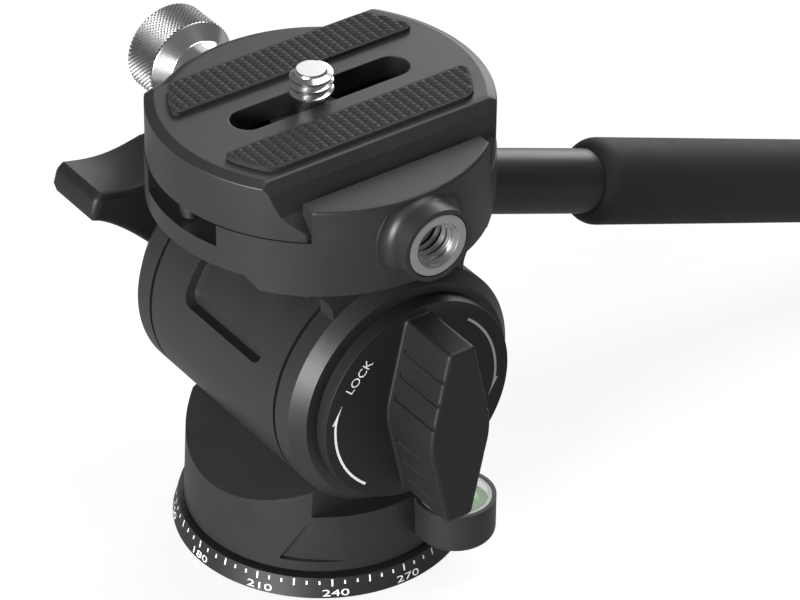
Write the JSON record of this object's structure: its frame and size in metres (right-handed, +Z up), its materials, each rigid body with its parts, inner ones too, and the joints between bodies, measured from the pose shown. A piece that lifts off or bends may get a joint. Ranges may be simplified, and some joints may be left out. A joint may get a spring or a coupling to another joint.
{
  "type": "fluid video head",
  "caption": "Compact fluid video head: panning base with a degree scale, tilting yoke with lock knob and drag lever, dovetail clamp with quick release plate, and a pan handle.",
  "frame": {"origin": "on the pan axis at the underside of the base, in the mouth of the tripod socket", "axes": "+Z up along the pan axis; +X along the tilt axis towards the lock knob; +Y towards the pan handle"},
  "size_m": [0.0736, 0.1521, 0.0765],
  "materials": {
    "black_metal": "satin black anodised aluminium",
    "scale_metal": "satin black with white degree marks",
    "black_plastic": "fine matt moulded black",
    "rubber": "matt black rubber",
    "polished_steel": "polished neck and knurled head",
    "steel": "turned steel",
    "bronze": "turned bearing bronze",
    "friction": "dark friction lining",
    "level_grey": "light grey level body",
    "level_green": "green level fluid",
    "level_clear": "clear level window"
  },
  "bodies": {
    "base": {"scale_ring": "scale_metal", "tripod_socket": "steel", "pan_spindle": "steel", "spindle_screws": "steel", "thrust_washer": "friction", "pan_nut": "steel"},
    "pan": {"pan_housing": "black_metal", "pan_bush": "bronze", "pan_friction_disc": "friction", "pan_disc_spring": "steel", "housing_screws": "steel", "level_cup": "level_grey", "level_fluid": "level_green", "level_bubble": "level_clear", "level_lens": "level_clear", "tilt_housing": "black_metal", "tilt_shaft": "steel", "tilt_disc_springs": "steel", "pressure_plates": "steel", "friction_discs": "friction"},
    "tilt": {"yoke": "black_metal", "tilt_bushes": "bronze", "cheek_washers": "steel", "clamp_base": "black_metal", "accessory_bush": "steel", "clamp_screws": "steel", "handle_rod": "black_metal", "handle_set_screw": "steel", "handle_grip": "rubber", "jaw_guide_pins": "steel"},
    "jaw": {"movable_jaw": "black_metal"},
    "clamp_knob": {"clamp_knob": "polished_steel", "clamp_drawbar": "steel"},
    "plate": {"quick_plate": "black_metal", "rubber_pads": "rubber", "stop_screws": "steel"},
    "carriage": {"screw_washer": "steel"},
    "screw": {"camera_screw": "polished_steel"},
    "lock_knob": {"lock_knob": "black_plastic", "lock_nut": "bronze"},
    "drag_lever": {"drag_lever": "black_plastic", "lever_nut": "bronze"}
  },
  "joints": [
    {"name": "pan", "type": "hinge", "parent": "base", "child": "pan", "pos_m": [0, 0, 0], "axis": [0, 0, 1], "continuous": true},
    {"name": "tilt", "type": "hinge", "parent": "pan", "child": "tilt", "pos_m": [0, 0, 0.03375], "axis": [1, 0, 0], "range_deg": [-50, 90]},
    {"name": "jaw_slide", "type": "slide", "parent": "tilt", "child": "jaw", "axis": [-1, 0, 0], "range_m": [0, 0.002]},
    {"name": "clamp_knob_turn", "type": "hinge", "parent": "jaw", "child": "clamp_knob", "pos_m": [-0.03, 0, 0.0595], "axis": [-1, 0, 0], "range_deg": [0, 730]},
    {"name": "plate_slide", "type": "slide", "parent": "tilt", "child": "plate", "axis": [0, 1, 0], "range_m": [-0.0025, 0.0025]},
    {"name": "carriage_slide", "type": "slide", "parent": "plate", "child": "carriage", "axis": [0, 1, 0], "range_m": [-0.01, 0.013]},
    {"name": "camera_screw_turn", "type": "hinge", "parent": "carriage", "child": "screw", "pos_m": [0, -0.0015, 0.07], "axis": [0, 0, 1], "continuous": true},
    {"name": "lock_knob_turn", "type": "hinge", "parent": "tilt", "child": "lock_knob", "pos_m": [0, 0, 0.03375], "axis": [1, 0, 0], "range_deg": [0, 270]},
    {"name": "drag_lever_turn", "type": "hinge", "parent": "tilt", "child": "drag_lever", "pos_m": [0, 0, 0.03375], "axis": [1, 0, 0], "range_deg": [-10, 60]}
  ],
  "couplings": [
    {"joint": "clamp_knob_turn", "follows": "jaw_slide", "rad_per_m": 6283.2}
  ]
}
